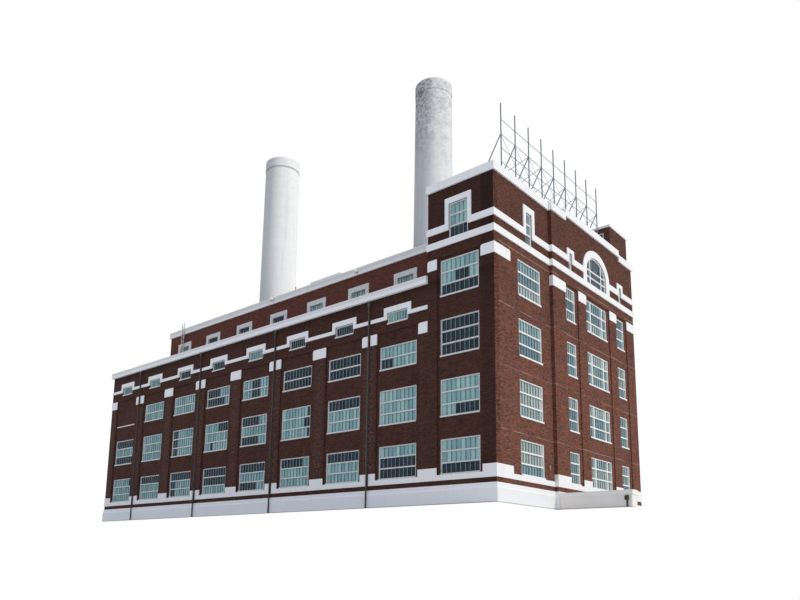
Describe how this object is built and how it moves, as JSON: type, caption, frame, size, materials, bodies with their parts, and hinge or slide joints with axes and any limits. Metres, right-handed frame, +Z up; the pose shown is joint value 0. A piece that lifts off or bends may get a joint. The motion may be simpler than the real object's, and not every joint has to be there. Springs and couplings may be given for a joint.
{
  "type": "brick power-station factory building, scale model 1:2",
  "caption": "Dark red brick factory with white belts and plinth, a long lower wing, a taller end block with an arched window, white stacks and a bare roof sign frame.",
  "frame": {"origin": "centre of the bounding box in plan, at ground level under the base course", "axes": "+X along the long side towards the tall end block, +Y from the long front towards the back, +Z up"},
  "size_m": [30.5, 12.761, 25.45],
  "materials": {
    "brick": "matte fired brick, sooty",
    "trim": "matte white painted stone",
    "base_white": "matte painted concrete",
    "frame_white": "satin white paint",
    "glazing": "clear, with blue-green tint",
    "concrete": "matte pale concrete",
    "roofing": "matte roof gravel",
    "grey_steel": "satin grey-blue paint",
    "dark_pipe": "satin dark green paint"
  },
  "bodies": {
    "root": {"wing_south_wall": "brick", "wing_north_wall": "brick", "wing_west_wall": "brick", "hall_south_wall": "brick", "hall_north_wall": "brick", "hall_west_wall": "brick", "tower_south_wall": "brick", "tower_north_wall": "brick", "tower_west_wall": "brick", "tower_east_corner_wall": "brick", "tower_east_centre_wall": "brick", "roof_houses": "brick", "flue_houses": "brick", "wing_cornice": "trim", "attic_band": "trim", "sill_band": "trim", "pier_caps": "trim", "hall_cornice": "trim", "tower_window_surrounds": "trim", "tower_belts": "trim", "tower_coping": "trim", "arch_surround": "trim", "roof_house_caps": "trim", "wing_plinth": "base_white", "tower_plinth": "base_white", "loading_platform": "base_white", "platform_deck": "base_white", "wing_window_frames": "frame_white", "hall_window_frames": "frame_white", "tower_window_frames": "frame_white", "arch_window_frame": "frame_white", "wing_window_glass": "glazing", "hall_window_glass": "glazing", "tower_window_glass": "glazing", "floors": "concrete", "west_stack": "concrete", "east_stack": "concrete", "wing_roof": "roofing", "hall_roof": "roofing", "tower_roof": "roofing", "sign_frame": "grey_steel", "sign_stays": "grey_steel", "hall_ladder": "grey_steel", "downpipes": "dark_pipe"}
  },
  "joints": []
}
